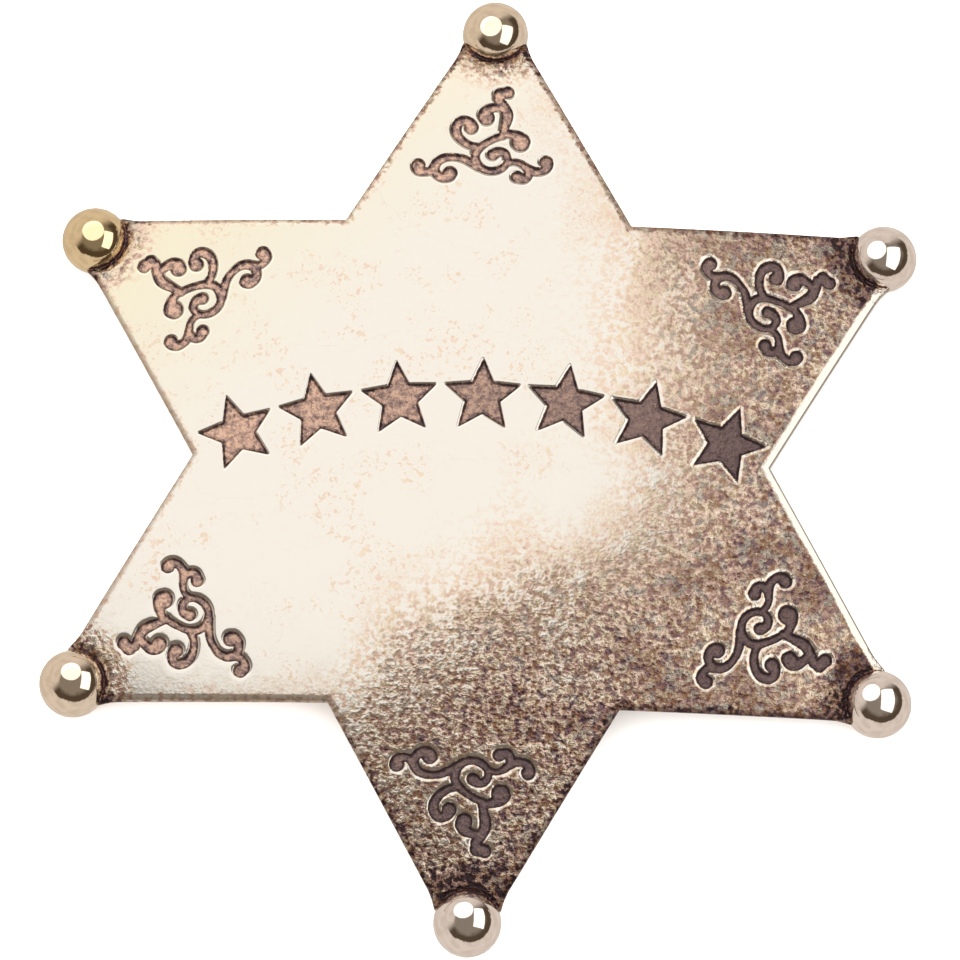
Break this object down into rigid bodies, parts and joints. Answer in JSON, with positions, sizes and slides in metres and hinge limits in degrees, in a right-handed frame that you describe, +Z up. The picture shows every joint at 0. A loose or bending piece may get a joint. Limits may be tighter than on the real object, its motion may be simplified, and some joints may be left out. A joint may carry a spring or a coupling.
{
  "type": "sheriff star badge",
  "caption": "Domed six-pointed star badge with ball tips, engraved scrolls and an arched row of small stars, and a pin on its back.",
  "frame": {"origin": "centre of the star on the surface that the badge lies on, under its domed face; all six balls touch that surface", "axes": "+Z up, out of the badge's face; +Y towards the star's top point; +X to the right as the face is read"},
  "size_m": [0.062, 0.0708, 0.006],
  "materials": {
    "antique_silver": "cast and silver plated, darkened in the recesses and polished on the high places, mottled with wear",
    "pin_nickel": "plain nickel plated steel, satin"
  },
  "bodies": {
    "root": {"star": "antique_silver", "pin_back": "pin_nickel"}
  },
  "joints": []
}
